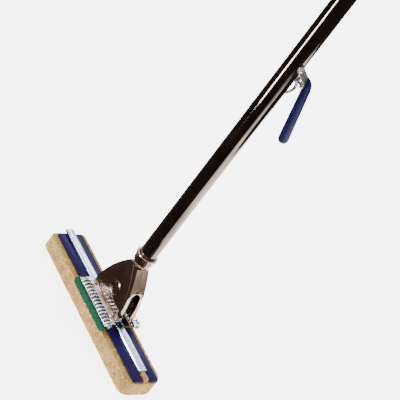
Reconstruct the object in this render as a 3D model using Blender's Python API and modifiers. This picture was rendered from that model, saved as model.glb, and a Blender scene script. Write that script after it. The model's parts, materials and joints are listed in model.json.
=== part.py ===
"""Roller sponge mop: a folding cellulose sponge drawn up between two rollers by a lever on the handle.

Metres, +Z up the handle, X along the sponge, -Y the front. The origin is the middle of the
sponge's underside. Every piece that is separate in the real mop is one closed object here.
"""
from math import atan, cos, pi, radians, sin

import bmesh
import bpy
from mathutils import Matrix, Vector

MM = 0.001
GAP = 0.3                     # air between pieces that touch
REFILL_SHIFT = -4.5           # the refill sits a little off the frame's centre

# ---- driving dimensions (mm) ----
SPONGE_LENGTH = 277.0
SPONGE_WIDTH = 62.0
SPONGE_THICK = 26.0
HANDLE_OD = 25.4
HANDLE_WALL = 1.0
HANDLE_TOP = 1215.0
FRAME_HALF_WIDTH = 37.0
FRAME_DEPTH = 32.0
FRAME_HEIGHT = 75.0
SHEET = 1.2
SPINE_WIDTH = 13.8
WING_WIDTH = 17.5
WING_THICK = 2.4
ROLLER_RADIUS = 6.4
STRIP_REACH = 6.3             # bracket strip, out from the frame's foot
STRIP_RISE = 5.2              # underside of that strip, above the rollers' axis
ROLLER_AIR = 0.284            # between a roller's rings and the strip's edge
PIVOT_ABOVE_COLLAR = 352.5
LEVER_REACH = 30.8            # pivot to link pin
LEVER_ANGLE = -47.0           # of the link pin, from level
GRIP_LENGTH = 93.0

# ---- what follows from them (mm) ----
WING_Z = SPONGE_THICK + GAP + WING_THICK / 2
WING_TOP = WING_Z + WING_THICK / 2
HINGE_Y = 6.0
SPINE_TOP = WING_TOP + 5.0
ROLLER_Z = WING_TOP + 0.9 + ROLLER_RADIUS
BRACKET_Z = ROLLER_Z + STRIP_RISE
BASE_Z = BRACKET_Z + SHEET + GAP
APEX_Z = BASE_Z + FRAME_HEIGHT
COLLAR_HEIGHT = 21.5
COLLAR_TOP = APEX_Z + COLLAR_HEIGHT
PIVOT_Z = COLLAR_TOP + PIVOT_ABOVE_COLLAR
HALF_DEPTH = FRAME_DEPTH / 2
ROLLER_Y = HALF_DEPTH + STRIP_REACH + ((ROLLER_RADIUS + ROLLER_AIR) ** 2 - STRIP_RISE ** 2) ** 0.5
EAR_X = FRAME_HALF_WIDTH + 5.6
HANDLE_R = HANDLE_OD / 2
BORE_R = HANDLE_R - HANDLE_WALL
HANDLE_FOOT = APEX_Z + 7.0

for old in list(bpy.data.objects):
    bpy.data.objects.remove(old, do_unlink=True)

PARTS = bpy.data.collections.new("roller_sponge_mop")
CUTTERS = bpy.data.collections.new("cutters")
for group in (PARTS, CUTTERS):
    bpy.context.scene.collection.children.link(group)


# ---- materials ----
def material(name, colour, roughness, metallic):
    mat = bpy.data.materials.new(name)
    mat.use_nodes = True
    shader = mat.node_tree.nodes["Principled BSDF"]
    shader.inputs["Base Color"].default_value = (*colour, 1)
    shader.inputs["Roughness"].default_value = roughness
    shader.inputs["Metallic"].default_value = metallic
    return mat


CHROME = material("chrome_plate", (0.55, 0.55, 0.56), 0.08, 1.0)
ZINC = material("zinc_plate", (0.62, 0.65, 0.68), 0.25, 1.0)
STEEL = material("bright_steel", (0.6, 0.6, 0.6), 0.2, 1.0)
BLUE = material("blue_plastic", (0.03, 0.03, 0.16), 0.35, 0.0)
SPONGE = material("tan_cellulose", (0.55, 0.36, 0.17), 0.9, 0.0)
GREEN = material("green_scrub_fibre", (0.02, 0.14, 0.08), 0.9, 0.0)
GREY = material("grey_nylon", (0.2, 0.2, 0.21), 0.5, 0.0)


# ---- makers ----
def place(obj, name, mat, collection=PARTS):
    obj.name = obj.data.name = name
    for owner in list(obj.users_collection):
        owner.objects.unlink(obj)
    collection.objects.link(obj)
    if mat:
        obj.data.materials.clear()
        obj.data.materials.append(mat)
    if collection is CUTTERS:
        obj.hide_render = True
        obj.display_type = "WIRE"
    return obj


def from_bmesh(build, name, mat, collection=PARTS):
    mesh = bpy.data.meshes.new(name)
    bm = bmesh.new()
    build(bm)
    bmesh.ops.recalc_face_normals(bm, faces=bm.faces)
    bm.to_mesh(mesh)
    bm.free()
    return place(bpy.data.objects.new(name, mesh), name, mat, collection)


def box(name, low, high, mat=None, collection=PARTS):
    size = [(b - a) * MM for a, b in zip(low, high)]
    mid = [(a + b) / 2 * MM for a, b in zip(low, high)]

    def build(bm):
        bmesh.ops.create_cube(bm, size=1.0)
        bmesh.ops.scale(bm, vec=size, verts=bm.verts)

    obj = from_bmesh(build, name, mat, collection)
    obj.location = mid
    return obj


AXIS_TURN = {"Z": Matrix(), "X": Matrix.Rotation(pi / 2, 4, "Y"), "Y": Matrix.Rotation(-pi / 2, 4, "X"),
             "-Y": Matrix.Rotation(pi / 2, 4, "X")}


def rod(name, axis, centre, radius, length, mat=None, collection=PARTS, sides=24):
    """A plain round bar centred on centre and running along axis."""
    def build(bm):
        bmesh.ops.create_cone(bm, cap_ends=True, segments=sides, radius1=radius * MM,
                              radius2=radius * MM, depth=length * MM)

    obj = from_bmesh(build, name, mat, collection)
    obj.matrix_world = Matrix.Translation(Vector(centre) * MM) @ AXIS_TURN[axis]
    return obj


def flat(name, outline, thick, mat=None, collection=PARTS, matrix=Matrix()):
    """A flat plate cut to an outline; the outline lies in XY and the plate is centred on it."""
    curve = bpy.data.curves.new(name, "CURVE")
    curve.dimensions = "2D"
    curve.fill_mode = "BOTH"
    curve.extrude = thick / 2 * MM
    spline = curve.splines.new("POLY")
    spline.points.add(len(outline) - 1)
    for point, (x, y) in zip(spline.points, outline):
        point.co = (x * MM, y * MM, 0, 1)
    spline.use_cyclic_u = True
    return to_mesh(bpy.data.objects.new(name, curve), name, mat, collection, matrix)


def tube_curve(name, points, radius, mat=None, collection=PARTS, matrix=Matrix(), sides=2, radii=None):
    """A round wire or bar bent along points; radii, if given, scale its radius from point to point."""
    curve = bpy.data.curves.new(name, "CURVE")
    curve.dimensions = "3D"
    curve.bevel_depth = radius * MM
    curve.bevel_resolution = sides
    curve.use_fill_caps = True
    spline = curve.splines.new("POLY")
    spline.points.add(len(points) - 1)
    for i, (point, co) in enumerate(zip(spline.points, points)):
        point.co = (*[c * MM for c in co], 1)
        point.radius = radii[i] if radii else 1
    return to_mesh(bpy.data.objects.new(name, curve), name, mat, collection, matrix)


def to_mesh(temp, name, mat, collection, matrix):
    """The curve object turned into a welded, closed mesh object."""
    bpy.context.scene.collection.objects.link(temp)
    bpy.context.view_layer.update()
    graph = bpy.context.evaluated_depsgraph_get()
    mesh = bpy.data.meshes.new_from_object(temp.evaluated_get(graph))
    bpy.data.objects.remove(temp, do_unlink=True)
    bm = bmesh.new()
    bm.from_mesh(mesh)
    bmesh.ops.remove_doubles(bm, verts=bm.verts, dist=1e-6)
    bmesh.ops.recalc_face_normals(bm, faces=bm.faces)
    bm.to_mesh(mesh)
    bm.free()
    obj = place(bpy.data.objects.new(name, mesh), name, mat, collection)
    obj.matrix_world = matrix
    return obj


def turned(name, profile, centre, mat, axis="Z", steps=32, collection=PARTS):
    """A turned piece: a profile of (radius, height) points spun about the axis.

    The profile is run with its outer side from top to bottom, so the faces look out. One that
    starts and ends on the axis is left open there and its poles are merged.
    """
    ring = profile + profile[:1]
    if sum(a[0] * b[1] - b[0] * a[1] for a, b in zip(ring, ring[1:])) > 0:
        profile = profile[::-1]
    solid = profile[0][0] == 0 and profile[-1][0] == 0
    mesh = bpy.data.meshes.new(name)
    bm = bmesh.new()
    verts = [bm.verts.new((r * MM, 0, h * MM)) for r, h in profile]
    for a, b in zip(verts, verts[1:] + ([] if solid else verts[:1])):
        bm.edges.new((a, b))
    bm.to_mesh(mesh)
    bm.free()
    obj = place(bpy.data.objects.new(name, mesh), name, mat, collection)
    screw = obj.modifiers.new("Spin", "SCREW")
    screw.steps = screw.render_steps = steps
    screw.use_merge_vertices = True
    screw.merge_threshold = 0.00001
    obj.matrix_world = Matrix.Translation(Vector(centre) * MM) @ AXIS_TURN[axis]
    return obj


def bevel(obj, width, segments=2, angle=40):
    mod = obj.modifiers.new("Bevel", "BEVEL")
    mod.width = width * MM
    mod.segments = segments
    mod.limit_method = "ANGLE"
    mod.angle_limit = radians(angle)
    return obj


def combine(obj, tools, operation="DIFFERENCE"):
    for tool in tools:
        mod = obj.modifiers.new(operation.title(), "BOOLEAN")
        mod.operation = operation
        mod.solver = "EXACT"
        mod.object = tool
    return obj


def arc(cx, cy, r, start, end, steps):
    """Points of an arc from start to end degrees."""
    return [(cx + r * cos(radians(start + (end - start) * i / steps)),
             cy + r * sin(radians(start + (end - start) * i / steps))) for i in range(steps + 1)]


FRONT = Matrix.Rotation(pi / 2, 4, "X")       # outline's x, y become X, Z; plate's thickness is Y
SIDE = Matrix(((0, 0, 1, 0), (1, 0, 0, 0), (0, 1, 0, 0), (0, 0, 0, 1)))   # outline's x, y become Y, Z


def at(x=0.0, y=0.0, z=0.0):
    return Matrix.Translation(Vector((x, y, z)) * MM)


# ---- sponge and its folding backer ----
def sponge():
    x, y = SPONGE_LENGTH / 2, SPONGE_WIDTH / 2
    end = (arc(x - 18, y - 18, 18, 0, 90, 7) + arc(-x + 6, y - 6, 6, 90, 180, 3)
           + arc(-x + 6, -y + 6, 6, 180, 270, 3) + arc(x - 14, -y + 14, 14, 270, 360, 6))
    body = flat("sponge", end, SPONGE_THICK, SPONGE, matrix=at(x=REFILL_SHIFT, z=SPONGE_THICK / 2))
    ridge = box("sponge_ridge", (REFILL_SHIFT - x + 3, -4.4, SPONGE_THICK - 4),
                (REFILL_SHIFT + x - 2.5, 4.4, SPINE_TOP - SHEET - GAP),
                collection=CUTTERS)
    bevel(combine(body, [ridge], "UNION"), 1.5, 2)


def spine():
    """Folded channel over the sponge's ridge; it runs past the wings at one end only."""
    w = SPINE_WIDTH / 2
    low, high = WING_TOP + GAP, SPINE_TOP
    r, t = 3.2, SHEET
    outer = arc(w - r, high - r, r, 0, 90, 5) + arc(-w + r, high - r, r, 90, 180, 5)
    inner = arc(w - r, high - r, r - t, 0, 90, 5) + arc(-w + r, high - r, r - t, 90, 180, 5)
    section = [(w, low)] + outer + [(-w, low), (-w + t, low)] + inner[::-1] + [(w - t, low)]
    x0, x1 = REFILL_SHIFT - SPONGE_LENGTH / 2 - 1.5, REFILL_SHIFT + SPONGE_LENGTH / 2 - 17
    flat("spine_channel", section, x1 - x0, ZINC, matrix=at(x=(x0 + x1) / 2) @ SIDE)


def wing(name, side):
    """Blue plate on one half of the sponge, slotted where it passes the frame's side bands."""
    x, x0 = REFILL_SHIFT + SPONGE_LENGTH / 2 - 2.0, SPONGE_LENGTH / 2 - REFILL_SHIFT - 3.0
    inner, outer = HINGE_Y - WING_THICK / 2, HINGE_Y - WING_THICK / 2 + WING_WIDTH
    slot, s0, s1 = HINGE_Y + 1.6, FRAME_HALF_WIDTH - 3.4, FRAME_HALF_WIDTH + 0.8
    outline = [(-x0, inner), (x, inner), (x, outer - 2), (x - 2, outer), (s1, outer), (s1, slot), (s0, slot),
               (s0, outer), (-s0, outer), (-s0, slot), (-s1, slot), (-s1, outer), (-x0 + 2, outer),
               (-x0, outer - 2)]
    if side < 0:
        outline = [(a, -b) for a, b in reversed(outline)]
    outline = [(a, b - side * HINGE_Y) for a, b in outline]
    obj = flat(name, outline, WING_THICK, BLUE, matrix=at(y=side * HINGE_Y, z=WING_Z))
    bevel(obj, 0.8, 2)


STUD_X = 24.0
YOKE_Z = SPINE_TOP + 3.0


def yoke():
    """Bar that carries the spine, with the pull rod screwed into its middle."""
    w = STUD_X + 6
    bar = box("yoke_bar", (-w, -5.5, SPINE_TOP + GAP), (w, 5.5, SPINE_TOP + GAP + 4), ZINC)
    holes = [rod(f"yoke_hole_{i}", "Z", (s * STUD_X, 0, SPINE_TOP + 2), 2.3, 20, collection=CUTTERS, sides=16)
             for i, s in enumerate((-1, 1))]
    bevel(combine(bar, holes), 0.6, 1)


def studs():
    """Two screws up from the spine through the yoke, each with a wing nut."""
    top = SPINE_TOP + GAP + 4
    for i, s in enumerate((-1, 1), 1):
        x = s * STUD_X
        low = SPINE_TOP - SHEET - 0.0
        turned(f"stud_{i}", [(0.0, 0), (2.0, 0), (2.0, 11.4), (1.5, 12), (0.0, 12)],
               (x, 0, SPINE_TOP + GAP), STEEL, steps=16)
        nut = turned(f"wing_nut_{i}", [(2.2, 0), (4.2, 0), (3.6, 4.5), (2.2, 4.5)], (x, 0, top + GAP), ZINC,
                     steps=16)
        ears = flat(f"nut_ears_{i}", [(-8.5, 3.2), (-3.0, 0.8), (3.0, 0.8), (8.5, 3.2), (8.8, 6.2), (6.2, 6.6),
                                      (3.2, 3.6), (-3.2, 3.6), (-6.2, 6.6), (-8.8, 6.2)], 1.6,
                    collection=CUTTERS, matrix=at(x, 0, top + GAP) @ FRONT)
        hole = rod(f"nut_hole_{i}", "Z", (x, 0, top + 4), 2.2, 14, collection=CUTTERS, sides=16)
        combine(nut, [ears], "UNION")
        combine(nut, [hole])


# ---- frame ----
NECK_R = 10.4                 # half the frame's width and depth where it meets the collar
LEAN = atan((HALF_DEPTH - NECK_R) / FRAME_HEIGHT)


def frame_outline(inset=0.0):
    """Right side of the frame from the open base up to the neck, as (x, height above the base)."""
    half, neck = FRAME_HALF_WIDTH - inset, NECK_R - inset
    return [(neck + (half - neck) * (1 - (i / 10) ** 2.1), FRAME_HEIGHT * i / 10) for i in range(11)]


def mirrored(side):
    return side + [(-x, z) for x, z in reversed(side)]


def tapered(name, outline, inset, low, high, side, collection):
    """The outline cut through the frame's depth, then trimmed to one leaning half."""
    body = flat(name, outline, 2 * HALF_DEPTH + 10, CHROME, collection, matrix=at(z=BASE_Z) @ FRONT)
    slope = (HALF_DEPTH - NECK_R) / FRAME_HEIGHT
    wedge = [(side * a, b) for a, b in ((GAP / 2 - inset, low), (HALF_DEPTH - inset - slope * low, low),
                                        (HALF_DEPTH - inset - slope * high, high), (GAP / 2 - inset, high))]
    keep = flat(name + "_keep", wedge, 120, collection=CUTTERS, matrix=at(z=BASE_Z) @ SIDE)
    return combine(body, [keep], "INTERSECT")


def shell(name, side):
    """One pressed half of the frame: a leaning face, a curved skirt and an outward foot flange."""
    inner = frame_outline(SHEET)
    hollow = mirrored([(inner[0][0], -5)] + inner[:-1] + [(inner[-1][0] + 1.2, FRAME_HEIGHT - SHEET)])
    body = tapered(name, mirrored(frame_outline()), 0.0, -8, FRAME_HEIGHT + 8, side, PARTS)
    core = tapered(name + "_core", hollow, SHEET, -9, FRAME_HEIGHT + 9, side, CUTTERS)
    # the skirt stops short of the seam up to a square-topped notch, so the spine can rise through it
    notch_w = SPINE_WIDTH / 2 + 1.7
    notch = box(name + "_notch", (-60, -notch_w, BASE_Z - 5), (60, notch_w, BASE_Z + 36), collection=CUTTERS)
    arch = rod(name + "_arch", "X", (0, 0, BASE_Z + 36), notch_w - 0.1, 120, collection=CUTTERS, sides=24)
    flange_y = sorted((side * (HALF_DEPTH - SHEET / 2), side * (HALF_DEPTH + 7.2)))
    foot = box(name + "_foot", (-FRAME_HALF_WIDTH + 0.7, flange_y[0], BASE_Z - 0.05),
               (FRAME_HALF_WIDTH - 0.7, flange_y[1], BASE_Z + SHEET), collection=CUTTERS)
    way = rod(name + "_rod_way", "Z", (0, 0, APEX_Z), ROD_R + 1.5, 20, collection=CUTTERS, sides=24)
    combine(body, [core, notch, arch, way])
    combine(body, [foot], "UNION")
    # raised rim that follows the face's edge, and a plain round boss in the middle of the field
    face = at(y=side * HALF_DEPTH, z=BASE_Z) @ Matrix.Rotation(side * LEAN, 4, "X")
    rim = flat(name + "_rim", face_outline(1.4, 0.0), 1.6, collection=CUTTERS,
               matrix=face @ at(y=side * 0.1) @ FRONT)
    well = flat(name + "_well", face_outline(4.0, 2.2), 1.6, collection=CUTTERS,
                matrix=face @ at(y=side * 0.6) @ FRONT)
    boss = turned(name + "_boss", [(0.0, -0.8), (11.0, -0.8), (11.0, 0.7), (10.2, 1.1), (8.6, 1.1), (7.8, 0.5),
                                   (6.4, 0.6), (4.0, 1.5), (0.0, 1.9)],
                  (0, 0, 0), None, steps=32, collection=CUTTERS)
    boss.matrix_world = face @ at(z=27) @ AXIS_TURN["Y" if side > 0 else "-Y"]
    combine(body, [rim], "UNION")
    combine(body, [well])
    combine(body, [boss], "UNION")
    body.modifiers.new("Facets", "TRIANGULATE")
    combine(body, [rod(f"{name}_hole_{i}", "Z", (s * RIVET_X, side * RIVET_Y, BASE_Z), 1.9, 6,
                       collection=CUTTERS, sides=16) for i, s in enumerate((-1, 1))])


def face_outline(inset, lift):
    """The field inside the raised rim: a triangle with convex sides that meet under the collar."""
    base, top, half = 2.0 + lift, FRAME_HEIGHT - 1.5 - 1.6 * lift, FRAME_HALF_WIDTH - inset
    side = [(half * (1 - (i / 12) ** 1.9), base + (top - base) * i / 12) for i in range(12)]
    return mirrored(side + [(0.9, top)])


RIVET_X, RIVET_Y = FRAME_HALF_WIDTH - 7.0, HALF_DEPTH + 3.5


def collar():
    """Funnel from the frame's neck up to a rolled mouth that grips the foot of the tube."""
    r, top = HANDLE_R + GAP, COLLAR_HEIGHT - GAP
    seat = HANDLE_FOOT - APEX_Z - 2 * GAP
    funnel = turned("neck_collar", [
        (NECK_R - 1.6, 0), (NECK_R, 0), (NECK_R + 0.6, 2.0), (r + 1.0, seat + 1.0), (r + 1.5, seat + 3),
        (r + 1.6, top - 6), (r + 2.8, top - 4), (r + 3.2, top - 2), (r + 2.6, top - 0.4), (r + 1.2, top),
        (r, top), (r, seat), (NECK_R - 1.6, seat - 2.5)], (0, 0, APEX_Z + GAP), CHROME, steps=32)
    hole = rod("collar_screw_hole", "X", (0, 0, SCREW_Z), 2.3, 60, collection=CUTTERS, sides=16)
    combine(funnel, [hole])


SCREW_Z = APEX_Z + 13.0


def collar_screws():
    """A short screw on each side, through the collar and the tube's wall."""
    end = HANDLE_R + GAP + 1.6 + GAP
    for name, s in (("left", -1), ("right", 1)):
        screw = turned(f"collar_screw_{name}", [(0.0, 1.9), (2.0, 1.6), (3.0, 0.7), (3.1, 0), (2.0, 0),
                                                (2.0, -6), (0.0, -6)], (0, 0, 0), STEEL, steps=20)
        screw.matrix_world = at(s * end, 0, SCREW_Z) @ Matrix.Rotation(s * pi / 2, 4, "Y")


def handle():
    """Plated steel tube, crossed by the collar screw and the lever pin and slotted for the link."""
    tube = turned("handle_tube", [(BORE_R, 0), (HANDLE_R, 0), (HANDLE_R, HANDLE_TOP - HANDLE_FOOT),
                                  (BORE_R, HANDLE_TOP - HANDLE_FOOT)], (0, 0, HANDLE_FOOT), CHROME, steps=32)
    cuts = [rod("tube_screw_hole", "X", (0, 0, SCREW_Z), 2.3, 60, collection=CUTTERS, sides=16),
            rod("tube_pin_hole", "X", (0, 0, PIVOT_Z), PIN_R + 0.1, 60, collection=CUTTERS, sides=24),
            box("tube_slot", (-2.9, 2, PIVOT_Z - 118), (2.9, 30, PIVOT_Z - 12), collection=CUTTERS)]
    combine(tube, cuts)


def handle_ends():
    """Plug in the top of the tube, and the bent wire it holds for hanging the mop up."""
    cap = turned("top_cap", [(0.0, 0), (BORE_R - GAP, 0), (BORE_R - GAP, 14), (HANDLE_R + 0.9, 14),
                             (HANDLE_R + 0.9, 21), (HANDLE_R - 2, 25), (6.0, 27.5), (0.0, 28)],
                 (0, 0, HANDLE_TOP + GAP - 14), GREY, steps=32)
    holes = [rod(f"cap_hole_{i}", "Z", (4.0 * k, 0, HANDLE_TOP + 14), 1.6, 18, collection=CUTTERS, sides=12)
             for i, k in enumerate((-1, 1))]
    combine(cap, holes)
    hang = [(-4.0, 6.0), (-4.0, 17.0)] + [(-x, z) for x, z in arc(0, 27, 9.5, -50, 230, 14)]
    hang += [(4.0, 17.0), (4.0, 6.0)]
    tube_curve("hanger_loop", [(x, 0, z) for x, z in hang], 1.3, STEEL, matrix=at(0, 0, HANDLE_TOP), sides=2)


PIN_R = 3.0


BEND = (33.0, -22.4)          # end of the arm, from the pivot, as (y, z)
SPLAY = 18.0                  # degrees the grip stands off the handle
ARM_U = Vector(BEND).normalized()
ARM_N = Vector((-ARM_U.y, ARM_U.x))


def arm_point(along, out):
    """A point measured along the arm from the pivot and square to it, as (y, z)."""
    return tuple(ARM_U * along + ARM_N * out)


def strip(points, half):
    """Outline of a band of even width that follows points."""
    left, right = [], []
    for i, p in enumerate(points):
        a, b = Vector(points[max(i - 1, 0)]), Vector(points[min(i + 1, len(points) - 1)])
        n = (b - a).normalized()
        n = Vector((-n.y, n.x)) * half
        left.append(tuple(Vector(p) + n))
        right.append(tuple(Vector(p) - n))
    return left + right[::-1]


LINK_Y = LEVER_REACH * cos(radians(LEVER_ANGLE))
LINK_DROP = LEVER_REACH * sin(radians(LEVER_ANGLE))
LINK_Z = PIVOT_Z + LINK_DROP
GRIP_DIR = Vector((sin(radians(SPLAY)), -cos(radians(SPLAY))))
GRIP_START = Vector((32.2, -26.8))


def grip_point(down, out):
    """A point measured down the grip from the bend and square to it, as (y, z)."""
    return tuple(GRIP_START + GRIP_DIR * down + Vector((-GRIP_DIR.y, GRIP_DIR.x)) * out)


PLATE_X = HANDLE_R + GAP + 1.1     # middle of the lever's plate
PLATE_THICK = 1.8


def tongue_path(start):
    return [arm_point(start, 0.1), arm_point(33, -0.2), arm_point(37, -2.0), grip_point(2.0, 0),
            grip_point(6, 0), grip_point(GRIP_LENGTH - 12, 0)]


def lever():
    """Pressed plate beside the tube: a round eye at the pivot, an ear for the link, a tongue for the grip."""
    link_at = Vector((LINK_Y, LINK_DROP))
    along, out = ARM_U.dot(link_at), ARM_N.dot(link_at)
    path = strip(tongue_path(26), 3.2)
    half = len(path) // 2
    left, right = path[:half], path[half:]
    outline = ([arm_point(*p) for p in arc(0, 0, 5.2, 60, 300, 12) + [(along - 9, -5.0)]
                + arc(along, out, 3.9, 230, 330, 5) + [(along + 2.9, -4.8)]]
               + right[::-1][1:] + left[::-1] + [arm_point(23.0, 3.3), arm_point(22.6, 4.4)])
    body = flat("lever_plate", outline, PLATE_THICK, ZINC, matrix=at(PLATE_X, 0, PIVOT_Z) @ SIDE)
    holes = [rod("lever_pin_hole", "X", (0, 0, PIVOT_Z), PIN_R + 0.1, 80, collection=CUTTERS, sides=24),
             rod("lever_link_hole", "X", (0, LINK_Y, LINK_Z), 2.1, 80, collection=CUTTERS, sides=20)]
    combine(body, holes)


def grip():
    """Dipped sleeve over the tongue: a round bar that bends, thickens towards its foot and ends in a dome."""
    spine = [(arm_point(20.0, 0.4), 4.9), (arm_point(31, 0.4), 5.5), (arm_point(35.0, -0.6), 5.9),
             (arm_point(38.4, -2.4), 6.1), (grip_point(2, 0), 6.2), (grip_point(8, 0), 6.3)]
    spine += [(grip_point(8 + (GRIP_LENGTH - 15) * i / 4, 0), 6.3 + 1.0 * i / 4) for i in range(1, 5)]
    spine += [(grip_point(GRIP_LENGTH - 7 + 6.9 * sin(radians(a)), 0), 7.3 * cos(radians(a)))
              for a in (30, 55, 75)]
    body = tube_curve("lever_grip", [(PLATE_X, y, PIVOT_Z + z) for (y, z), r in spine], 1.0, BLUE, sides=4,
                      radii=[r for point, r in spine])
    pocket = flat("grip_pocket", strip(tongue_path(15) + [grip_point(GRIP_LENGTH - 11.6, 0)], 3.6),
                  PLATE_THICK + 0.6, collection=CUTTERS, matrix=at(PLATE_X, 0, PIVOT_Z) @ SIDE)
    slant = [arm_point(*p) for p in ((5, 14), (14.7, 14), (38.5, -9.0), (34, -16), (5, -16))]
    mouth = flat("grip_mouth", slant, 40, collection=CUTTERS, matrix=at(PLATE_X, 0, PIVOT_Z) @ SIDE)
    combine(body, [mouth, pocket])


def pins():
    """Pivot bolt across the tube and the short pin that carries the link off the plate."""
    out, end = PLATE_X + PLATE_THICK / 2 + GAP, -HANDLE_R - GAP
    turned("pivot_bolt", [(0.0, out + 2.0), (2.6, out + 1.7), (3.8, out + 0.7), (3.9, out), (PIN_R, out),
                          (PIN_R, end), (4.0, end), (3.4, end - 0.8), (0.0, end - 1.0)],
           (0, 0, PIVOT_Z), STEEL, axis="X", steps=24)
    turned("link_pin", [(0.0, out + 1.3), (2.4, out + 1.0), (3.1, out + 0.3), (3.1, out), (2.0, out),
                        (2.0, -4.2), (0.0, -4.2)], (0, LINK_Y, LINK_Z), STEEL, axis="X", steps=20)


FOOT_Z = PIVOT_Z - 110.0
ROD_R = 3.0


def link():
    """Curved strap from the lever's pin, out, in through the slot and down the tube to the pull rod."""
    path = [(LINK_Y + 1, LINK_Z - 3), (LINK_Y + 6.5, LINK_Z - 8.5), (LINK_Y + 8.3, LINK_Z - 15),
            (LINK_Y + 5.0, LINK_Z - 21), (LINK_Y - 2.0, LINK_Z - 24.5), (LINK_Y - 8.5, LINK_Z - 28),
            (LINK_Y - 14.0, LINK_Z - 35), (2.6, LINK_Z - 58), (0.3, FOOT_Z + 5.4)]
    curve = bpy.data.curves.new("link", "CURVE")
    curve.dimensions = "3D"
    curve.bevel_depth = 2.0 * MM
    curve.bevel_resolution = 2
    curve.use_fill_caps = True
    spline = curve.splines.new("BEZIER")
    spline.bezier_points.add(len(path) - 1)
    for point, (y, z) in zip(spline.bezier_points, path):
        point.co = (0, y * MM, z * MM)
        point.handle_left_type = point.handle_right_type = "AUTO"
    spline.resolution_u = 4
    body = to_mesh(bpy.data.objects.new("curved_link", curve), "curved_link", STEEL, PARTS, Matrix())
    eyes = [rod("link_eye", "X", (0, LINK_Y, LINK_Z), 4.4, 5.0, collection=CUTTERS, sides=24),
            rod("foot_eye", "X", (0, 0, FOOT_Z), 6.4, 4.0, collection=CUTTERS, sides=24)]
    holes = [rod("link_hole", "X", (0, LINK_Y, LINK_Z), 2.1, 20, collection=CUTTERS, sides=20),
             rod("foot_hole", "X", (0, 0, FOOT_Z), FOOT_PIN_R + 3.1, 20, collection=CUTTERS, sides=24)]
    combine(body, eyes, "UNION")
    combine(body, holes)


FOOT_PIN_R = 1.5


def pull_rod():
    """Rod down the tube to the yoke; its forked head takes the link's foot on a loose pin."""
    foot = SPINE_TOP + GAP + 4 + GAP
    neck = FOOT_Z - 14
    body = rod("pull_rod", "Z", (0, 0, (neck + foot) / 2), ROD_R, neck - foot, STEEL)
    head = rod("rod_head", "Z", (0, 0, neck + 10), 9.0, 24, collection=CUTTERS, sides=24)
    slot = box("rod_head_slot", (-2.8, -30, FOOT_Z - 9), (2.8, 30, FOOT_Z + 20), collection=CUTTERS)
    hole = rod("rod_head_hole", "X", (0, 0, FOOT_Z), FOOT_PIN_R + 0.1, 40, collection=CUTTERS, sides=16)
    disc = rod("rod_foot", "Z", (0, 0, foot + 1.5), 6.0, 3.0, collection=CUTTERS, sides=24)
    combine(body, [head, disc], "UNION")
    combine(body, [slot, hole])
    rod("rod_pin", "X", (0, 0, FOOT_Z), FOOT_PIN_R, 16, STEEL, sides=16)


def guides():
    """Nylon bush in the foot of the tube that keeps the rod central."""
    turned("rod_guide", [(ROD_R + 0.3, 0), (BORE_R - GAP, 0), (BORE_R - GAP, 9), (ROD_R + 0.3, 9)],
           (0, 0, SCREW_Z + 6), GREY, steps=32)


# ---- rollers ----
def bracket(name, side):
    """Pressed strip under the frame's foot flange, with an ear down at each end for the axle."""
    y0, y1 = HALF_DEPTH + 0.4, HALF_DEPTH + STRIP_REACH
    low, high = sorted((side * y0, side * y1))
    body = box(name, (-EAR_X, low, BRACKET_Z), (EAR_X, high, BRACKET_Z + SHEET), ZINC)
    circle = arc(ROLLER_Y, ROLLER_Z, 5.2, -100, 60, 10)
    ear = [(y0 + 0.4, BRACKET_Z + 0.8), (y0 + 0.4, BRACKET_Z - 0.4), (y0 + 3.4, BRACKET_Z - 2.6),
           (ROLLER_Y - 4.4, ROLLER_Z - 2.6)]
    ear = ear + circle + [(y1 + 2.0, BRACKET_Z + 0.8)]
    if side < 0:
        ear = [(-a, b) for a, b in reversed(ear)]
    ears = [flat(f"{name}_ear_{i}", ear, SHEET, collection=CUTTERS, matrix=at(x=s * EAR_X) @ SIDE)
            for i, s in enumerate((-1, 1))]
    combine(body, ears, "UNION")
    holes = [rod(f"{name}_rivet_hole_{i}", "Z", (s * RIVET_X, side * RIVET_Y, BRACKET_Z), 1.9, 20,
                 collection=CUTTERS, sides=16) for i, s in enumerate((-1, 1))]
    axle_hole = rod(name + "_axle_hole", "X", (0, side * ROLLER_Y, ROLLER_Z), AXLE_R + 0.1, 120,
                    collection=CUTTERS, sides=16)
    combine(body, holes + [axle_hole])


AXLE_R = 1.7


def roller(name, side):
    """Ring-ribbed roller, bored for its axle."""
    half = EAR_X - SHEET / 2 - 0.8
    rings, n = [], 14
    pitch = 2 * half / n
    for i in range(n):
        x = -half + i * pitch
        rings += [(ROLLER_RADIUS - 1.1, x), (ROLLER_RADIUS - 1.1, x + pitch * 0.25),
                  (ROLLER_RADIUS, x + pitch * 0.40), (ROLLER_RADIUS, x + pitch * 0.85)]
    profile = [(AXLE_R + 0.25, -half)] + rings + [(ROLLER_RADIUS - 1.1, half), (AXLE_R + 0.25, half)]
    turned(name, profile, (0, side * ROLLER_Y, ROLLER_Z), CHROME, axis="X", steps=24)


def axle(name, side):
    """Headed axle through both ears."""
    reach = EAR_X + SHEET / 2 + (SHEET + GAP if side < 0 else 0) + GAP
    turned(name, [(0.0, -1.6), (2.2, -1.3), (3.2, -0.4), (3.2, 0), (AXLE_R, 0), (AXLE_R, 2 * reach + 2.2),
                  (0.0, 2 * reach + 2.2)], (-reach, side * ROLLER_Y, ROLLER_Z), STEEL, axis="X", steps=20)
    turned(name + "_push_nut", [(AXLE_R + 0.05, 0), (3.4, 0), (3.0, 1.2), (AXLE_R + 0.05, 1.2)],
           (reach, side * ROLLER_Y, ROLLER_Z), STEEL, axis="X", steps=20)


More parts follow.
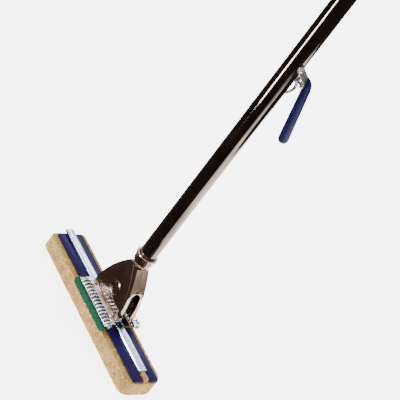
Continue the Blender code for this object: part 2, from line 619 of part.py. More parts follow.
def rivets():
    """Four rivets that hold the brackets under the foot flanges."""
    n = 0
    for side in (-1, 1):
        for s in (-1, 1):
            n += 1
            turned(f"bracket_rivet_{n}", [
                (0.0, -GAP - 0.4), (1.7, -GAP - 0.4), (2.1, -GAP), (1.6, -GAP), (1.6, 2 * SHEET + 2 * GAP),
                (2.2, 2 * SHEET + 2 * GAP), (1.6, 2 * SHEET + 2 * GAP + 1.0), (0.0, 2 * SHEET + 2 * GAP + 1.3)],
                (s * RIVET_X, side * RIVET_Y, BRACKET_Z), STEEL, steps=16)


# ---- scrubber ----
SCRUB_Y = ROLLER_Y + ROLLER_RADIUS + 0.6


def scrubber():
    """Green pad on a steel carrier that hangs on the front axle outside the bracket's ears."""
    low, high = ROLLER_Z - 7.4, ROLLER_Z + 3.8
    x = EAR_X + SHEET / 2 + GAP
    plate = box("scrubber_carrier", (-x - SHEET, -SCRUB_Y - SHEET, low), (x + SHEET, -SCRUB_Y, high), ZINC)
    tabs = [box(f"scrub_tab_{i}", (min(s * x, s * (x + SHEET)), -SCRUB_Y - SHEET / 2, ROLLER_Z - 4.4),
                (max(s * x, s * (x + SHEET)), -ROLLER_Y + 4.2, ROLLER_Z + 3.4 - 0.4), collection=CUTTERS)
            for i, s in enumerate((-1, 1))]
    hole = rod("scrub_axle_hole", "X", (0, -ROLLER_Y, ROLLER_Z), AXLE_R + 0.1, 130, collection=CUTTERS, sides=16)
    combine(plate, tabs, "UNION")
    combine(plate, [hole])
    half, h = EAR_X + 5.0, (high - low) / 2
    mid = (high + low) / 2
    r = h - 0.5
    outline = arc(half - r, mid, r, -90, 90, 8) + arc(-half + r, mid, r, 90, 270, 8)
    pad = flat("scrubber_pad", outline, 4.4, GREEN, matrix=at(y=-SCRUB_Y - SHEET - GAP - 2.2) @ FRONT)
    bevel(pad, 0.8, 2)


sponge()
spine()
wing("wing_front", -1)
wing("wing_rear", 1)
yoke()
studs()
for half_name, half_side in (("front", -1), ("rear", 1)):
    shell(f"frame_{half_name}", half_side)
    bracket(f"bracket_{half_name}", half_side)
    roller(f"roller_{half_name}", half_side)
    axle(f"axle_{half_name}", half_side)
rivets()
collar()
collar_screws()
handle()
handle_ends()
lever()
grip()
pins()
link()
pull_rod()
guides()
scrubber()
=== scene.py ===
# %% [markdown]
# # A roller sponge mop
# The mop stands on its sponge. A chrome frame straddles the sponge and carries two rollers; a side
# lever on the handle pulls a rod, and the rod draws the sponge up between the rollers, which fold
# its two blue wings down and squeeze the water out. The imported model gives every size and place, so
# this lesson only adds looks: rounded edges, pores, fibres, ribs and the finish of each surface.

# %% Load the frame
import json
from math import cos, pi, radians, sin

import bmesh
import bpy
from mathutils import Matrix, Vector


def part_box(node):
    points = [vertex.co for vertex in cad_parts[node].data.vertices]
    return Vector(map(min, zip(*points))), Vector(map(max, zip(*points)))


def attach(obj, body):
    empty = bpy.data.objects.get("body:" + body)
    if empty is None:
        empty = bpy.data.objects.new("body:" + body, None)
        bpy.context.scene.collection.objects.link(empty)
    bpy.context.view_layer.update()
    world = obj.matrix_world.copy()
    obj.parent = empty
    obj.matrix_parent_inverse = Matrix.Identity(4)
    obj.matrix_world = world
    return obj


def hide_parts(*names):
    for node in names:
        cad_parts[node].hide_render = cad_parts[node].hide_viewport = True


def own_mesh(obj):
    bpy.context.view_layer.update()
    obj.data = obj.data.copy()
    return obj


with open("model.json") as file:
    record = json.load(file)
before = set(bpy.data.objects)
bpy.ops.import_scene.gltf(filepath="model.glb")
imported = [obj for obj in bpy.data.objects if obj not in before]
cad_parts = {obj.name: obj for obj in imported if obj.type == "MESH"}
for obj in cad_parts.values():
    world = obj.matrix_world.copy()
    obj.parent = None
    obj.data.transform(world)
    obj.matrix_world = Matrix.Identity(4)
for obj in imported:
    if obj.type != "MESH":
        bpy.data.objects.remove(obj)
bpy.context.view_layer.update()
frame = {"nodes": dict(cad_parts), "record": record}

MM = 0.001
BODY_OF = {node: body for body, nodes in frame["record"]["behaviour"]["bodies"].items() for node in nodes}

# %% [markdown]
# ## The camera
# A long lens stands well back, in front and a little to the right, and looks down on the head. The
# camera is rolled on its side, so that the handle runs up to the right across the square picture.

# %% Camera
camera = bpy.data.objects.new("studio_camera", bpy.data.cameras.new("studio_camera"))
bpy.context.scene.collection.objects.link(camera)
camera.data.sensor_width = 36
camera.data.lens = 112.57
camera.data.clip_start, camera.data.clip_end = 0.05, 50
camera.location = (0.8943, -1.1247, 1.0664)
camera.rotation_euler = [radians(a) for a in (54.495, -32.251, 58.909)]
bpy.context.scene.camera = camera

# %% [markdown]
# ## Helpers for materials
# Colours are written as sRGB hex, the way a colour picker shows them, and one function turns them
# into the linear values that shaders use. A second one adds a node to any tree, with its settings
# and its links, so that every material below reads as a short list of what it is made of.

# %% Colour and node helpers
def colour(code):
    """sRGB hex to linear RGBA."""
    parts = [int(code[i:i + 2], 16) / 255 for i in (0, 2, 4)]
    return [c / 12.92 if c <= 0.04045 else ((c + 0.055) / 1.055) ** 2.4 for c in parts] + [1.0]


def add(tree, kind, inputs=None, **settings):
    """One node: settings are its own options, inputs are values, or sockets to link from."""
    made = tree.nodes.new(kind)
    for name, value in settings.items():
        setattr(made, name, value)
    for name, value in (inputs or {}).items():
        if isinstance(value, bpy.types.NodeSocket):
            tree.links.new(value, made.inputs[name])
        else:
            made.inputs[name].default_value = value
    return made


def finish(name, metallic, **constants):
    """A new material, its tree, its shader and a point in object space, in metres."""
    made = bpy.data.materials.new(name)
    made.use_nodes = True
    shader = made.node_tree.nodes["Principled BSDF"]
    shader.inputs["Metallic"].default_value = metallic
    for socket, value in constants.items():
        shader.inputs[socket.replace("_", " ")].default_value = value
    place = add(made.node_tree, "ShaderNodeTexCoord").outputs["Object"]
    return made, made.node_tree, shader, place


def shades(tree, factor, *stops):
    """A colour ramp from (position, hex) stops."""
    ramp = add(tree, "ShaderNodeValToRGB", {"Fac": factor})
    band = ramp.color_ramp.elements
    while len(band) < len(stops):
        band.new(0.5)
    for stop, (position, code) in zip(band, stops):
        stop.position = position
        stop.color = colour(code)
    return ramp.outputs["Color"]


def spread(tree, factor, low, high):
    """A texture's 0 to 1 moved to low to high."""
    return add(tree, "ShaderNodeMapRange", {"Value": factor, "To Min": low, "To Max": high}).outputs["Result"]


def relief(tree, shader, height, depth_mm, strength):
    """Fine bumps: height from 0 to 1 stands for depth_mm."""
    bump = add(tree, "ShaderNodeBump", {"Height": height, "Distance": depth_mm * MM, "Strength": strength})
    tree.links.new(bump.outputs["Normal"], shader.inputs["Normal"])


def noise(tree, where, size_mm, detail):
    """Soft clouds about size_mm across, from 0 to 1."""
    return add(tree, "ShaderNodeTexNoise", {"Vector": where, "Scale": 1 / (size_mm * MM),
                                            "Detail": detail}).outputs["Fac"]


# %% [markdown]
# ## Bright nickel-chrome plate
# Decorative chrome over nickel is a mirror with a faint warm cast: its darks and lights come from
# the card and the lamps of the last steps. Under this pale light bare chrome reads as white, so the
# tube and the frame have a smoked brown base, chosen for this studio: painted shade, darker than the
# metal's own colour. The rollers' rings and the frame's foot flange have a bright, cool one: a
# painted highlight. Polishing leaves waves tens of millimetres long and a little haze.

# %% Chrome
def chrome(name, dark, light, haze):
    made, tree, shader, place = finish(name, 1.0)
    waves = noise(tree, place, size_mm=30, detail=2.0)
    smears = noise(tree, place, size_mm=6, detail=4.0)
    tree.links.new(shades(tree, waves, (0.35, dark), (0.65, light)), shader.inputs["Base Color"])
    tree.links.new(spread(tree, smears, haze * 0.6, haze * 1.6), shader.inputs["Roughness"])
    relief(tree, shader, waves, 0.12, 0.35)
    return made


# Painted shade: the tube's and the frame's bases are darker than chrome's own colour.
TUBE_CHROME = chrome("chrome_plated_tube", "4a423b", "5e544c", 0.08)
FRAME_CHROME = chrome("chrome_plated_pressing", "7c6658", "9c8678", 0.08)
# Painted highlight: a brighter copy of the same chrome, for the rollers' rings and the frame's foot flange.
HIGHLIGHT_CHROME = chrome("chrome_painted_highlight", "a2a4aa", "f0f2f6", 0.07)

# %% [markdown]
# ## Zinc-plated and galvanised steel
# Barrel-plated brackets and screws are bright and slightly blue. The channel over the sponge is cut
# from galvanised strip: paler, duller, with a faint spangle of zinc crystals 3 to 6 mm across.

# %% Zinc
def zinc(name, dark, light, smooth, dull, crystal_mm):
    made, tree, shader, place = finish(name, 1.0)
    cells = add(tree, "ShaderNodeTexVoronoi", {"Vector": place, "Scale": 1 / (crystal_mm * MM)})
    grain = noise(tree, place, size_mm=1.2, detail=3.0)
    tone = add(tree, "ShaderNodeMixRGB", {"Fac": 0.35, "Color1": cells.outputs["Distance"],
                                          "Color2": grain}).outputs["Color"]
    tree.links.new(shades(tree, tone, (0.2, dark), (0.6, light)), shader.inputs["Base Color"])
    tree.links.new(spread(tree, grain, smooth, dull), shader.inputs["Roughness"])
    relief(tree, shader, grain, 0.03, 0.3)
    return made


BRIGHT_ZINC = zinc("zinc_plated_steel", "8f959c", "dde1e5", 0.12, 0.28, 2.5)
GALVANISED = zinc("galvanised_strip", "8797b0", "b4c2d6", 0.14, 0.24, 5.0)
PLAIN_STEEL = zinc("drawn_steel_wire", "6f6d6a", "a8a6a2", 0.18, 0.34, 1.5)
LEVER_STEEL = zinc("nickel_plated_lever", "6f6762", "8c837d", 0.30, 0.42, 2.0)

# %% [markdown]
# ## Plastics
# The wings and the lever's sleeve are navy vinyl and polypropylene, moulded or dipped: an even,
# saturated colour, a soft sheen and a barely visible orange peel. The cap and the bush are nylon.

# %% Plastics
def plastic(name, deep, pale, smooth, dull, peel_mm):
    made, tree, shader, place = finish(name, 0.0, IOR=1.49, Specular_IOR_Level=0.06)
    tone = noise(tree, place, size_mm=18, detail=2.0)
    peel = noise(tree, place, size_mm=peel_mm, detail=2.0)
    tree.links.new(shades(tree, tone, (0.3, deep), (0.7, pale)), shader.inputs["Base Color"])
    tree.links.new(spread(tree, peel, smooth, dull), shader.inputs["Roughness"])
    relief(tree, shader, peel, 0.05, 0.35)
    return made


NAVY = plastic("navy_polypropylene", "0e0530", "150a40", 0.30, 0.42, 1.2)
NAVY_GRIP = plastic("navy_dipped_vinyl", "0a0430", "10093e", 0.36, 0.5, 0.9)
GREY_NYLON = plastic("grey_nylon", "3a3b3e", "505257", 0.45, 0.6, 0.8)

# %% [markdown]
# ## Cellulose sponge and scouring fibre
# Cellulose sponge is a tan block full of bubbles from under 1 to 4 mm. Its skin is matt, with
# pale flecks about 3 mm apart that are painted highlights. The depth of each pore arrives from the
# mesh as an attribute, so the darker, redder brown painted into the hollows as shade sits exactly
# in them.

# %% Sponge and fibre
FLECK_GAP = 2.8 * MM


def sponge_finish():
    made, tree, shader, place = finish("tan_cellulose_sponge", 0.0, IOR=1.45)
    depth = add(tree, "ShaderNodeAttribute", attribute_name="pore").outputs["Fac"]
    patches = noise(tree, place, size_mm=12, detail=5.0)
    crumbs = noise(tree, place, size_mm=1.6, detail=3.0)
    skin = shades(tree, patches, (0.30, "7a521e"), (0.48, "8c6a26"), (0.62, "96762a"), (0.75, "866028"))
    # Painted highlights: pale flecks spread by a cell texture and added onto the skin.
    cells = add(tree, "ShaderNodeTexVoronoi", {"Vector": place, "Scale": 1 / FLECK_GAP})
    near = add(tree, "ShaderNodeMath", {0: cells.outputs["Distance"], 1: crumbs},
               operation="MULTIPLY").outputs[0]
    painted_glints = shades(tree, near, (0.075, "f4dc88"), (0.105, "000000"))
    bright = add(tree, "ShaderNodeMixRGB", {"Fac": 1.0, "Color1": skin, "Color2": painted_glints}, blend_type="ADD")
    # Painted shade: the pores turn darker and redder with their depth.
    painted_pore_shade = add(tree, "ShaderNodeMixRGB", {"Fac": depth, "Color1": bright.outputs["Color"],
                                            "Color2": colour("7c5028")})
    tree.links.new(painted_pore_shade.outputs["Color"], shader.inputs["Base Color"])
    tree.links.new(spread(tree, crumbs, 0.95, 0.6), shader.inputs["Roughness"])
    relief(tree, shader, crumbs, 0.5, 0.7)
    return made


def fibre_finish(name, deep, pale):
    made, tree, shader, place = finish(name, 0.0, IOR=1.53, Roughness=0.85, Specular_IOR_Level=0.1)
    tufts = noise(tree, place, size_mm=2.2, detail=6.0)
    tree.links.new(shades(tree, tufts, (0.35, deep), (0.6, pale)), shader.inputs["Base Color"])
    relief(tree, shader, tufts, 0.5, 0.8)
    return made


SPONGE = sponge_finish()
SCOURER = fibre_finish("green_scouring_fibre", "02241a", "084a34")
STRANDS = fibre_finish("green_nylon_strands", "043424", "0c5c42")

# %% [markdown]
# ## Helpers for pieces
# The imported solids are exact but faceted, with knife edges. A pressed or cast piece has a radius on
# every edge, and that radius is what catches the light. So most pieces start as a copy of their
# solid: its doubles are merged, its flat triangles joined into whole faces, and a Bevel rounds it.

# %% Piece helpers
# metres, then degrees
MERGE_WITHIN, FLAT_WITHIN, SHARP_OVER = 2e-6, 0.6, 50


def piece(name, mesh, mat, body, *nodes):
    """A finished piece: shown on its body in place of the nodes it stands for."""
    made = bpy.data.objects.new(name, mesh)
    bpy.context.scene.collection.objects.link(made)
    mesh.materials.clear()
    mesh.materials.append(mat)
    return settle(made, body, *nodes)


def settle(made, body, *nodes):
    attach(made, body)
    if nodes:
        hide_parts(*nodes)
    return made


def baked(obj):
    """The mesh an object has once its modifiers have run; the object itself goes."""
    graph = bpy.context.evaluated_depsgraph_get()
    mesh = bpy.data.meshes.new_from_object(obj.evaluated_get(graph))
    bpy.data.objects.remove(obj, do_unlink=True)
    return mesh


def clean_copy(node):
    """A node's mesh, merged, with the triangles of each flat face joined."""
    mesh = frame["nodes"][node].data.copy()
    bm = bmesh.new()
    bm.from_mesh(mesh)
    bmesh.ops.remove_doubles(bm, verts=bm.verts, dist=MERGE_WITHIN)
    bmesh.ops.dissolve_limit(bm, angle_limit=radians(FLAT_WITHIN), verts=bm.verts, edges=bm.edges)
    bm.to_mesh(mesh)
    bm.free()
    return mesh


def soften(node, mat, radius, segments=3, angle=35):
    """A copy of a node with rounded edges, which takes the node's place."""
    rough = bpy.data.objects.new(node + "_rough", clean_copy(node))
    bpy.context.scene.collection.objects.link(rough)
    edge = rough.modifiers.new("Edges", "BEVEL")
    edge.width = radius * MM
    edge.segments = segments
    edge.limit_method = "ANGLE"
    edge.angle_limit = radians(angle)
    mesh = baked(rough)
    mesh.shade_smooth()
    mesh.set_sharp_from_angle(angle=radians(SHARP_OVER))
    made = piece("soft_" + node, mesh, mat, BODY_OF[node], node)
    print(f"{made.name}: {len(mesh.polygons)} faces, radius {radius} mm")
    return made


# %% [markdown]
# ## The handle tube and the collar
# The handle is seam-welded steel tube, 25.4 mm across, plated before assembly. Its solid already has
# the slot and the cross holes, so a fine-edged copy keeps them. The collar is a spun funnel.

# %% Handle, collar and cap
soften("handle_tube", TUBE_CHROME, 0.25, 2)
soften("neck_collar", FRAME_CHROME, 0.5, 3)
soften("top_cap", GREY_NYLON, 0.8, 3)
soften("hanger_loop", PLAIN_STEEL, 0.05, 1, angle=80)

# %% [markdown]
# ## The pressed frame
# Two deep-drawn halves meet on the centre line. Each has a raised bead round a three-cornered field.
# Pressing leaves radii of about the sheet's thickness, which is where chrome shows its bright lines.
# The foot flange has the bright chrome of the rollers' rings, a painted highlight. That is for looks
# only: a real frame is plated alike all over.

# %% Frame halves
FLANGE_MARGIN = 2.2 * MM
FLANGE_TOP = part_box("bracket_front")[1][2] + FLANGE_MARGIN
for node in ("frame_front", "frame_rear"):
    half = soften(node, FRAME_CHROME, 0.8, 4)
    # Faces below the flange top take the bright chrome: a painted highlight.
    half.data.materials.append(HIGHLIGHT_CHROME)
    for face in half.data.polygons:
        face.material_index = int(face.center.z < FLANGE_TOP)

# %% Brackets and the scrubber's carrier
for node in ("bracket_front", "bracket_rear", "scrubber_carrier"):
    soften(node, BRIGHT_ZINC, 0.35, 2)

# %% Spine, yoke and wing nuts
soften("spine_channel", GALVANISED, 0.8, 3)
for node in ("yoke_bar", "wing_nut_1", "wing_nut_2"):
    soften(node, BRIGHT_ZINC, 0.4, 2)

# %% Lever, link and pull rod
soften("lever_plate", LEVER_STEEL, 0.35, 3)
soften("lever_grip", NAVY_GRIP, 1.2, 4)
for node in ("curved_link", "pull_rod", "link_pin", "pivot_bolt", "rod_pin"):
    soften(node, PLAIN_STEEL, 0.25, 2)

# %% Wings
for node in ("wing_front", "wing_rear"):
    soften(node, NAVY, 0.6, 3)

# %% Plain small steel
for node, thing in frame["nodes"].items():
    if not thing.hide_render and node not in ("sponge", "scrubber_pad", "roller_front", "roller_rear"):
        thing.data.materials.clear()
        thing.data.materials.append(GREY_NYLON if node == "rod_guide" else PLAIN_STEEL)
        print("kept as turned:", node)

# %% [markdown]
# ## The ribbed rollers
# A roller squeezes with rings, so that water can run out between them. It is a rule more than a
# shape: a core and one ring, repeated at an even pitch. Geometry Nodes make it with four inputs. The core
# is as dark as the tube, painted shade, and the rings are bright, a painted highlight on the same
# chrome, so each ring stands out.

# %% Roller by Geometry Nodes
BEAD, BEAD_SINK, END_INSET, CORE_STEP = 1.4 * MM, 1.1 * MM, 2.2 * MM, 1.6 * MM


def new_tree(name, **sizes):
    """An empty geometry tree with named number inputs; returns it with its two ends."""
    tree = bpy.data.node_groups.new(name, "GeometryNodeTree")
    tree.interface.new_socket("Geometry", in_out="INPUT", socket_type="NodeSocketGeometry")
    for size, value in sizes.items():
        whole = isinstance(value, int)
        kind = "NodeSocketInt" if whole else "NodeSocketFloat"
        tree.interface.new_socket(size, in_out="INPUT", socket_type=kind).default_value = value
    tree.interface.new_socket("Geometry", in_out="OUTPUT", socket_type="NodeSocketGeometry")
    return tree, add(tree, "NodeGroupInput").outputs, add(tree, "NodeGroupOutput")


def run_tree(tree, name, mesh, **sizes):
    """The tree's result on a mesh, as a plain mesh. Inputs are set by their sockets' identifiers."""
    holder = bpy.data.objects.new(name + "_maker", mesh)
    modifier = holder.modifiers.new("Maker", "NODES")
    modifier.node_group = tree
    keys = {s.name: s.identifier for s in tree.interface.items_tree if s.in_out == "INPUT"}
    for size, value in sizes.items():
        modifier[keys[size]] = value
    bpy.context.scene.collection.objects.link(holder)
    return baked(holder)


def roller_tree(ring_mat, core_mat):
    tree, given, end = new_tree("ribbed_roller", Length=0.08, Core=0.005, Ring=0.0064, Rings=14)
    rod = add(tree, "GeometryNodeMeshCylinder", {"Vertices": 48, "Radius": given["Core"],
                                                 "Depth": given["Length"]})
    core = add(tree, "GeometryNodeSetMaterial", {"Geometry": rod.outputs["Mesh"], "Material": core_mat})
    outer = add(tree, "ShaderNodeMath", {0: given["Ring"], 1: BEAD_SINK}, operation="SUBTRACT").outputs[0]
    hoop = add(tree, "GeometryNodeCurvePrimitiveCircle", {"Resolution": 48, "Radius": outer})
    section = add(tree, "GeometryNodeCurvePrimitiveCircle", {"Resolution": 12, "Radius": BEAD})
    bead = add(tree, "GeometryNodeCurveToMesh", {"Curve": hoop.outputs["Curve"],
                                                 "Profile Curve": section.outputs["Curve"]})
    ring = add(tree, "GeometryNodeSetMaterial", {"Geometry": bead.outputs[0], "Material": ring_mat})
    half = add(tree, "ShaderNodeMath", {0: given["Length"], 1: 0.5}, operation="MULTIPLY").outputs[0]
    inset = add(tree, "ShaderNodeMath", {0: half, 1: END_INSET}, operation="SUBTRACT").outputs[0]
    low = add(tree, "ShaderNodeMath", {0: inset, 1: -1.0}, operation="MULTIPLY").outputs[0]
    start = add(tree, "ShaderNodeCombineXYZ", {"Z": low}).outputs[0]
    stop = add(tree, "ShaderNodeCombineXYZ", {"Z": inset}).outputs[0]
    line = add(tree, "GeometryNodeMeshLine", {"Count": given["Rings"], "Start Location": start,
                                              "Offset": stop}, mode="END_POINTS")
    rings = add(tree, "GeometryNodeInstanceOnPoints", {"Points": line.outputs[0],
                                                       "Instance": ring.outputs[0]})
    both = add(tree, "GeometryNodeJoinGeometry")
    tree.links.new(core.outputs[0], both.inputs[0])
    tree.links.new(rings.outputs[0], both.inputs[0])
    real = add(tree, "GeometryNodeRealizeInstances", {"Geometry": both.outputs[0]})
    smooth = add(tree, "GeometryNodeSetShadeSmooth", {"Geometry": real.outputs[0]})
    tree.links.new(smooth.outputs[0], end.inputs[0])
    return tree


# Rings in the bright chrome as painted highlight, the core in the dark one as painted shade.
ribbed = roller_tree(HIGHLIGHT_CHROME, TUBE_CHROME)
for side in ("front", "rear"):
    low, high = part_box("roller_" + side)
    mesh = run_tree(ribbed, "roller", bpy.data.meshes.new("roller"), Length=high[0] - low[0],
                    Core=(high[2] - low[2]) / 2 - CORE_STEP, Ring=(high[2] - low[2]) / 2)
    mesh.transform(Matrix.Translation((Vector(low) + Vector(high)) / 2) @ Matrix.Rotation(pi / 2, 4, "Y"))
    mesh.set_sharp_from_angle(angle=radians(45))
    roller = bpy.data.objects.new("ribbed_roller_" + side, mesh)
    bpy.context.scene.collection.objects.link(roller)
    settle(roller, side + "_roller", "roller_" + side)
    print("roller", side, len(mesh.polygons), "faces")

# %% [markdown]
# ## The sponge
# A cellulose block is cut with a knife, so its faces are flat and its corners only slightly rounded:
# there is no cover to puff up, and no cloth to simulate. What makes it a sponge is its pores. The
# solid is remeshed to even quads of about a millimetre, and a Geometry Nodes tree sinks the surface
# where a cell texture says that a bubble was cut open, in two sizes. The depth is kept for colour.

# %% Pores by Geometry Nodes
def pore_tree():
    tree, given, end = new_tree("cellulose_pores", Large=0.0042, Small=0.0021, Depth=0.0016, Sway=0.0009)
    where = add(tree, "GeometryNodeInputPosition").outputs[0]
    out = add(tree, "GeometryNodeInputNormal").outputs[0]
    sinks = []
    for size, share, seed in (("Large", 1.0, 0.0), ("Small", 0.55, 7.3)):
        scale = add(tree, "ShaderNodeMath", {0: 1.0, 1: given[size]}, operation="DIVIDE").outputs[0]
        moved = add(tree, "ShaderNodeVectorMath", {0: where, 1: (seed, seed, seed)},
                    operation="ADD").outputs[0]
        cells = add(tree, "ShaderNodeTexVoronoi", {"Vector": moved, "Scale": scale, "Randomness": 1.0})
        sinks.append(add(tree, "ShaderNodeMapRange", {"Value": cells.outputs["Distance"], "From Min": 0.18,
                                                      "From Max": 0.42, "To Min": share, "To Max": 0.0},
                         interpolation_type="SMOOTHSTEP").outputs["Result"])
    patch = noise(tree, where, size_mm=9, detail=1.0)
    open_here = add(tree, "ShaderNodeMapRange", {"Value": patch, "From Min": 0.40,
                                                 "From Max": 0.58}).outputs["Result"]
    large = add(tree, "ShaderNodeMath", {0: sinks[0], 1: open_here}, operation="MULTIPLY").outputs[0]
    pores = add(tree, "ShaderNodeMath", {0: large, 1: sinks[1]}, operation="MAXIMUM").outputs[0]
    drop = add(tree, "ShaderNodeMath", {0: pores, 1: given["Depth"]}, operation="MULTIPLY").outputs[0]
    sway = noise(tree, where, size_mm=45, detail=1.0)
    lean = add(tree, "ShaderNodeMath", {0: sway, 1: given["Sway"]}, operation="MULTIPLY").outputs[0]
    total = add(tree, "ShaderNodeMath", {0: drop, 1: lean}, operation="ADD").outputs[0]
    inward = add(tree, "ShaderNodeMath", {0: total, 1: -1.0}, operation="MULTIPLY").outputs[0]
    push = add(tree, "ShaderNodeVectorMath", {0: out, "Scale": inward}, operation="SCALE").outputs[0]
    noted = add(tree, "GeometryNodeStoreNamedAttribute", {
        "Geometry": given["Geometry"], "Name": "pore", "Value": pores}, data_type="FLOAT", domain="POINT")
    moved = add(tree, "GeometryNodeSetPosition", {"Geometry": noted.outputs[0], "Offset": push})
    real = add(tree, "GeometryNodeRealizeInstances", {"Geometry": moved.outputs[0]})
    painted = add(tree, "GeometryNodeSetMaterial", {"Geometry": real.outputs[0], "Material": SPONGE})
    tree.links.new(painted.outputs[0], end.inputs[0])
    return tree


def sponge_block():
    block = bpy.data.objects.new("block", clean_copy("sponge"))
    bpy.context.scene.collection.objects.link(block)
    rounded = block.modifiers.new("Cut edges", "BEVEL")
    rounded.width, rounded.segments, rounded.angle_limit = 1.6 * MM, 3, radians(40)
    even = block.modifiers.new("Even quads", "REMESH")
    even.mode, even.voxel_size = "VOXEL", 1.15 * MM
    even.use_smooth_shade = True
    return baked(block)


mesh = run_tree(pore_tree(), "sponge", sponge_block())
mesh.shade_smooth()
refill = piece("cellulose_refill", mesh, SPONGE, BODY_OF["sponge"], "sponge")
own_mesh(refill)
print("sponge:", len(mesh.polygons), "faces")

# %% [markdown]
# ## The scouring pad
# Scouring web is crimped nylon glued into a loose felt. The pad keeps its solid's outline with a
# crumbled surface, and Geometry Nodes scatter short bent strands that stand out of its faces.

# %% Scouring pad
def strand_tree(mat):
    tree, given, end = new_tree("scouring_strands", Density=400000.0, Reach=0.0016, Wire=0.00012, Seed=4)
    points = add(tree, "GeometryNodeDistributePointsOnFaces", {
        "Mesh": given["Geometry"], "Density": given["Density"], "Seed": given["Seed"]})
    arch = add(tree, "GeometryNodeCurveQuadraticBezier", {
        "Resolution": 4, "Start": (-0.0009, 0, -0.0002), "Middle": (0, 0, 0.0011),
        "End": (0.0009, 0, -0.0002)})
    wire = add(tree, "GeometryNodeCurvePrimitiveCircle", {"Resolution": 3, "Radius": given["Wire"]})
    strand = add(tree, "GeometryNodeCurveToMesh", {
        "Curve": arch.outputs[0], "Profile Curve": wire.outputs["Curve"], "Fill Caps": True})
    spin = add(tree, "FunctionNodeRandomValue", {
        0: (-0.5, -0.5, 0.0), 1: (0.5, 0.5, 6.283), "Seed": given["Seed"]}, data_type="FLOAT_VECTOR")
    turned = add(tree, "FunctionNodeRotateRotation", {
        "Rotation": points.outputs["Rotation"], "Rotate By": spin.outputs["Value"]}, rotation_space="LOCAL")
    spread_out = add(tree, "GeometryNodeInstanceOnPoints", {"Points": points.outputs["Points"],
                                                            "Instance": strand.outputs[0],
                                                            "Rotation": turned.outputs[0]})
    real = add(tree, "GeometryNodeRealizeInstances", {"Geometry": spread_out.outputs[0]})
    painted = add(tree, "GeometryNodeSetMaterial", {"Geometry": real.outputs[0], "Material": mat})
    tree.links.new(painted.outputs[0], end.inputs[0])
    return tree


pad = bpy.data.objects.new("pad", clean_copy("scrubber_pad"))
bpy.context.scene.collection.objects.link(pad)
even = pad.modifiers.new("Even quads", "REMESH")
even.mode, even.voxel_size = "VOXEL", 0.5 * MM
crumble = bpy.data.textures.new("felt", "CLOUDS")
crumble.noise_scale, crumble.noise_depth = 1.6 * MM, 2
rough = pad.modifiers.new("Crumble", "DISPLACE")
rough.texture, rough.texture_coords, rough.strength, rough.mid_level = crumble, "LOCAL", 0.9 * MM, 0.75
web = baked(pad)
web.shade_smooth()
piece("scouring_pad", web, SCOURER, BODY_OF["scrubber_pad"], "scrubber_pad")
strands = run_tree(strand_tree(STRANDS), "strands", web.copy())
fuzz = piece("scouring_strands", strands, STRANDS, BODY_OF["scrubber_pad"])
print("pad:", len(web.polygons), "faces; strands:", len(strands.polygons), "faces")

# %% [markdown]
# ## Floor and card
# The floor is pale acrylic. It glows in a band with soft edges that starts in front of the mop and
# runs away from the camera. Metal also needs something dark to mirror: a black card lies 4 mm above
# the floor and shows in reflections only. It starts 50 mm from the middle in front and on the left,
# and 850 mm away on the right and behind, where the bright floor is left for the metal to mirror.

# %% Floor
FLOOR_HALF, FLOOR_DROP, GLOW = 30, 0.5 * MM, 4.2
# a direction across the floor, and how far along it the glow starts and is full, in metres
GLOW_EDGES = (((-0.62, 0.78, 0), -0.48, -0.22), ((0.78, 0.62, 0), -0.95, -0.55),
              ((-0.78, -0.62, 0), -0.95, -0.55))


def floor():
    mesh = bpy.data.meshes.new("floor")
    bm = bmesh.new()
    bmesh.ops.create_grid(bm, x_segments=1, y_segments=1, size=FLOOR_HALF)
    bm.to_mesh(mesh)
    bm.free()
    mesh.transform(Matrix.Translation((0, 0, -FLOOR_DROP)))
    mat, tree, shader, place = finish("lit_white_acrylic", 0.0, Roughness=0.9,
                                      Emission_Color=colour("ffffff"))
    glow = GLOW
    for across, start, full in GLOW_EDGES:
        far = add(tree, "ShaderNodeVectorMath", {0: place, 1: across},
                  operation="DOT_PRODUCT").outputs["Value"]
        fade = add(tree, "ShaderNodeMapRange", {"Value": far, "From Min": start, "From Max": full},
                   interpolation_type="SMOOTHSTEP").outputs["Result"]
        glow = add(tree, "ShaderNodeMath", {0: fade, 1: glow}, operation="MULTIPLY").outputs[0]
    tree.links.new(glow, shader.inputs["Emission Strength"])
    clouds = noise(tree, place, size_mm=25, detail=3.0)
    tree.links.new(shades(tree, clouds, (0.3, "f6f6f6"), (0.7, "fafafa")), shader.inputs["Base Color"])
    sheet = bpy.data.objects.new("floor", mesh)
    mesh.materials.append(mat)
    bpy.context.scene.collection.objects.link(sheet)


floor()

# %% Black card
CARD_HEIGHT, CARD_STEPS = 4 * MM, 24
# first and last direction in degrees, then the nearer and the farther edge in metres
CARD_ARCS = ((132, 352, 0.05, 3.5), (-8, 132, 0.85, 3.5))


def black_card():
    """Dark card round the mop that only mirrors see."""
    mat, _, shader, _ = finish("black_card", 0.0, Roughness=1.0, Specular_IOR_Level=0.0)
    shader.inputs["Base Color"].default_value = colour("3c3430")
    bm = bmesh.new()
    for first, last, near, far in CARD_ARCS:
        turns = [radians(first + (last - first) * i / CARD_STEPS) for i in range(CARD_STEPS + 1)]
        rows = [[bm.verts.new((r * cos(a), r * sin(a), CARD_HEIGHT)) for r in (near, far)] for a in turns]
        for one, two in zip(rows, rows[1:]):
            bm.faces.new((one[0], one[1], two[1], two[0]))
    mesh = bpy.data.meshes.new("black_card")
    bm.to_mesh(mesh)
    bm.free()
    mesh.materials.append(mat)
    card = bpy.data.objects.new("black_card", mesh)
    bpy.context.scene.collection.objects.link(card)
    card.visible_camera = card.visible_diffuse = card.visible_shadow = False
    card.visible_transmission = False


black_card()

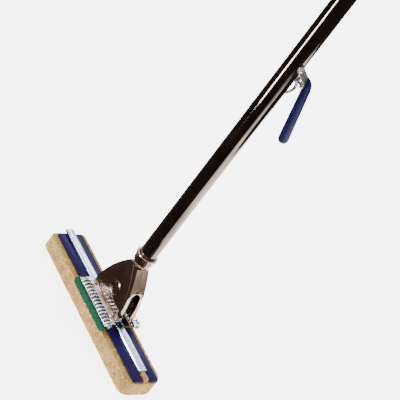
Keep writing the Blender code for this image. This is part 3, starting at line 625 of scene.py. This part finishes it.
# %% [markdown]
# ## Light
# A wide ceiling gives soft light that falls off towards the horizon. One large lamp at the front
# left lights the mop itself. The other lamps show in reflections only, and the last of them lies on
# the floor and faces up.

# %% Light
def sky(low, high):
    """White light from a wide ceiling: low at the horizon, high overhead."""
    world = bpy.data.worlds.new("soft_ceiling")
    bpy.context.scene.world = world
    world.use_nodes = True
    tree = world.node_tree
    way = add(tree, "ShaderNodeTexCoord").outputs["Generated"]
    rise = add(tree, "ShaderNodeSeparateXYZ", {"Vector": way}).outputs["Z"]
    level = add(tree, "ShaderNodeMapRange", {"Value": rise, "From Min": 0.05, "From Max": 0.65,
                                             "To Min": low, "To Max": high},
                interpolation_type="SMOOTHSTEP").outputs["Result"]
    tree.nodes["Background"].inputs["Color"].default_value = colour("ffffff")
    tree.links.new(level, tree.nodes["Background"].inputs["Strength"])


def lamp(name, place, target, wide, tall, watts, glossy_only=False):
    light = bpy.data.lights.new(name, "AREA")
    light.shape, light.size, light.size_y, light.energy = "RECTANGLE", wide, tall, watts
    made = bpy.data.objects.new(name, light)
    bpy.context.scene.collection.objects.link(made)
    made.location = place
    made.rotation_euler = (Vector(target) - Vector(place)).to_track_quat("-Z", "Y").to_euler()
    made.visible_camera = False
    made.visible_diffuse = not glossy_only
    return made


sky(low=0.9, high=2.5)
lamp("soft_key", (-1.2, -1.6, 2.2), (0, 0, 0.1), 1.6, 1.6, 30)
lamp("tube_strip", (-0.13, -0.60, 0.30), (0, 0, 0.40), 0.13, 0.50, 14, glossy_only=True)
lamp("rim_card", (-1.0, -0.9, 0.75), (0, 0, 0.08), 0.5, 0.12, 8, glossy_only=True)
lamp("high_card", (0.5, -0.3, 1.5), (0, 0, 0.06), 0.35, 0.35, 6, glossy_only=True)
lamp("back_card", (-0.85, 1.05, 0.80), (0, 0, 0.03), 1.0, 0.30, 5, glossy_only=True)
floor_card = lamp("floor_card", (0.22, 0.45, 0.002), (0.22, 0.45, 1), 1.1, 0.5, 4, glossy_only=True)
FLOOR_CARD_TURN = -26
floor_card.rotation_euler[2] = radians(FLOOR_CARD_TURN)
